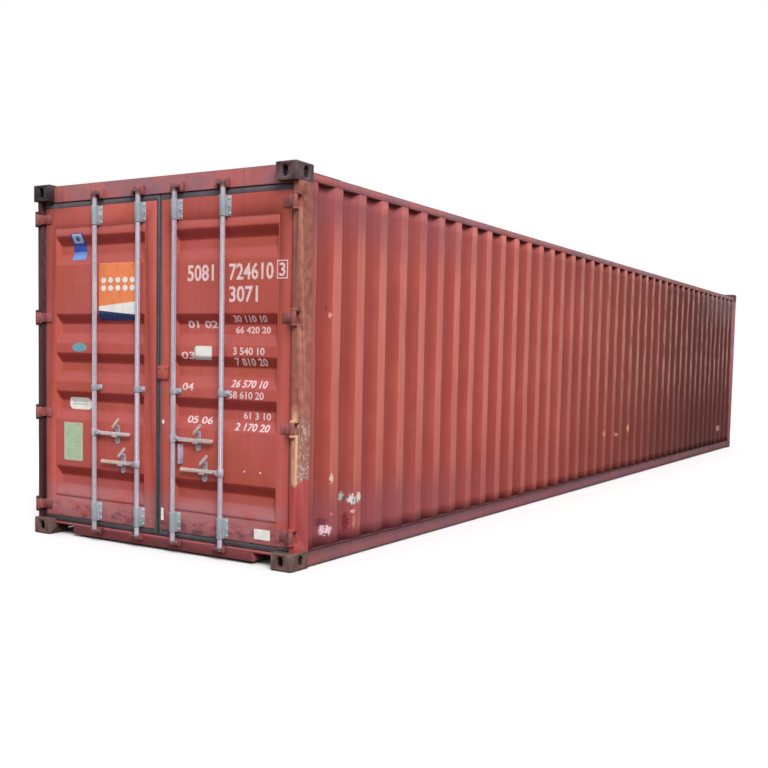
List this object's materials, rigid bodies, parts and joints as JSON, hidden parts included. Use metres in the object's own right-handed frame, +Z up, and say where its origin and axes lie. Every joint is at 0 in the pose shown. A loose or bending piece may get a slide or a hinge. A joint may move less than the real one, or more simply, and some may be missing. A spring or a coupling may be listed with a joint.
{
  "type": "shipping container",
  "caption": "Long freight container of corrugated steel with a pair of end doors, locking bars, lift handles, corner fittings and a gooseneck tunnel.",
  "frame": {"origin": "on the ground under the middle of the container", "axes": "+X towards the front wall, so the doors face -X; +Y to the left of someone who faces the doors; +Z up"},
  "size_m": [12.192, 2.438, 2.591],
  "materials": {
    "shell_paint": "weathered brown-red paint on folded steel sheet",
    "fitting_steel": "worn dark paint and rust on cast steel",
    "zinc": "dull galvanised steel",
    "gasket_rubber": "aged black rubber",
    "floor_wood": "worn plywood"
  },
  "bodies": {
    "root": {"bottom_corner_fittings": "fitting_steel", "top_corner_fittings": "fitting_steel", "bottom_side_rail_left": "shell_paint", "bottom_side_rail_right": "shell_paint", "top_side_rail_left": "shell_paint", "top_side_rail_right": "shell_paint", "rear_post_left": "shell_paint", "rear_post_right": "shell_paint", "front_post_left": "shell_paint", "front_post_right": "shell_paint", "door_header": "shell_paint", "door_sill": "shell_paint", "front_header": "shell_paint", "front_sill": "shell_paint", "side_wall_left": "shell_paint", "side_wall_right": "shell_paint", "front_wall": "shell_paint", "roof_panel": "shell_paint", "roof_corner_plates": "shell_paint", "cross_members": "shell_paint", "gooseneck_tunnel": "shell_paint", "cam_keepers": "shell_paint", "floor_boards": "floor_wood"},
    "left_door": {"left_door_frame": "shell_paint", "left_door_panel": "shell_paint", "left_door_gasket": "gasket_rubber", "left_door_hinges": "shell_paint", "left_bar_guides": "zinc", "left_handle_retainers": "zinc"},
    "right_door": {"right_door_frame": "shell_paint", "right_door_panel": "shell_paint", "right_door_gasket": "gasket_rubber", "right_door_hinges": "shell_paint", "right_bar_guides": "zinc", "right_handle_retainers": "zinc", "right_door_centre_plate": "shell_paint"},
    "left_outer_bar": {"left_outer_locking_bar": "zinc"},
    "left_outer_handle": {"left_outer_handle": "zinc"},
    "left_outer_catch": {"left_outer_catch": "zinc"},
    "left_inner_bar": {"left_inner_locking_bar": "zinc"},
    "left_inner_handle": {"left_inner_handle": "zinc"},
    "left_inner_catch": {"left_inner_catch": "zinc"},
    "right_inner_bar": {"right_inner_locking_bar": "zinc"},
    "right_inner_handle": {"right_inner_handle": "zinc"},
    "right_inner_catch": {"right_inner_catch": "zinc"},
    "right_outer_bar": {"right_outer_locking_bar": "zinc"},
    "right_outer_handle": {"right_outer_handle": "zinc"},
    "right_outer_catch": {"right_outer_catch": "zinc"}
  },
  "joints": [
    {"name": "left_door_hinge", "type": "hinge", "parent": "root", "child": "left_door", "pos_m": [-6.076, 1.197, 1.28], "axis": [0, 0, -1], "range_deg": [0, 265]},
    {"name": "right_door_hinge", "type": "hinge", "parent": "root", "child": "right_door", "pos_m": [-6.076, -1.197, 1.28], "axis": [0, 0, 1], "range_deg": [0, 265]},
    {"name": "left_outer_bar_turn", "type": "hinge", "parent": "left_door", "child": "left_outer_bar", "pos_m": [-6.068, 0.6, 1.28], "axis": [0, 0, 1], "range_deg": [-110, 0]},
    {"name": "left_outer_handle_lift", "type": "hinge", "parent": "left_outer_bar", "child": "left_outer_handle", "pos_m": [-6.068, 0.558, 0.794], "axis": [1, 0, 0], "range_deg": [-8, 0]},
    {"name": "left_outer_catch_swing", "type": "hinge", "parent": "left_door", "child": "left_outer_catch", "pos_m": [-6.0835, 0.393, 0.844], "axis": [1, 0, 0], "range_deg": [0, 135]},
    {"name": "left_inner_bar_turn", "type": "hinge", "parent": "left_door", "child": "left_inner_bar", "pos_m": [-6.068, 0.171, 1.28], "axis": [0, 0, -1], "range_deg": [-110, 0]},
    {"name": "left_inner_handle_lift", "type": "hinge", "parent": "left_inner_bar", "child": "left_inner_handle", "pos_m": [-6.068, 0.213, 0.59], "axis": [-1, 0, 0], "range_deg": [-8, 0]},
    {"name": "left_inner_catch_swing", "type": "hinge", "parent": "left_door", "child": "left_inner_catch", "pos_m": [-6.0835, 0.334, 0.64], "axis": [1, 0, 0], "range_deg": [0, 135]},
    {"name": "right_inner_bar_turn", "type": "hinge", "parent": "right_door", "child": "right_inner_bar", "pos_m": [-6.068, -0.171, 1.28], "axis": [0, 0, 1], "range_deg": [-110, 0]},
    {"name": "right_inner_handle_lift", "type": "hinge", "parent": "right_inner_bar", "child": "right_inner_handle", "pos_m": [-6.068, -0.213, 0.794], "axis": [1, 0, 0], "range_deg": [-8, 0]},
    {"name": "right_inner_catch_swing", "type": "hinge", "parent": "right_door", "child": "right_inner_catch", "pos_m": [-6.0835, -0.378, 0.844], "axis": [1, 0, 0], "range_deg": [0, 135]},
    {"name": "right_outer_bar_turn", "type": "hinge", "parent": "right_door", "child": "right_outer_bar", "pos_m": [-6.068, -0.6, 1.28], "axis": [0, 0, -1], "range_deg": [-110, 0]},
    {"name": "right_outer_handle_lift", "type": "hinge", "parent": "right_outer_bar", "child": "right_outer_handle", "pos_m": [-6.068, -0.558, 0.59], "axis": [-1, 0, 0], "range_deg": [-8, 0]},
    {"name": "right_outer_catch_swing", "type": "hinge", "parent": "right_door", "child": "right_outer_catch", "pos_m": [-6.0835, -0.437, 0.64], "axis": [1, 0, 0], "range_deg": [0, 135]}
  ]
}
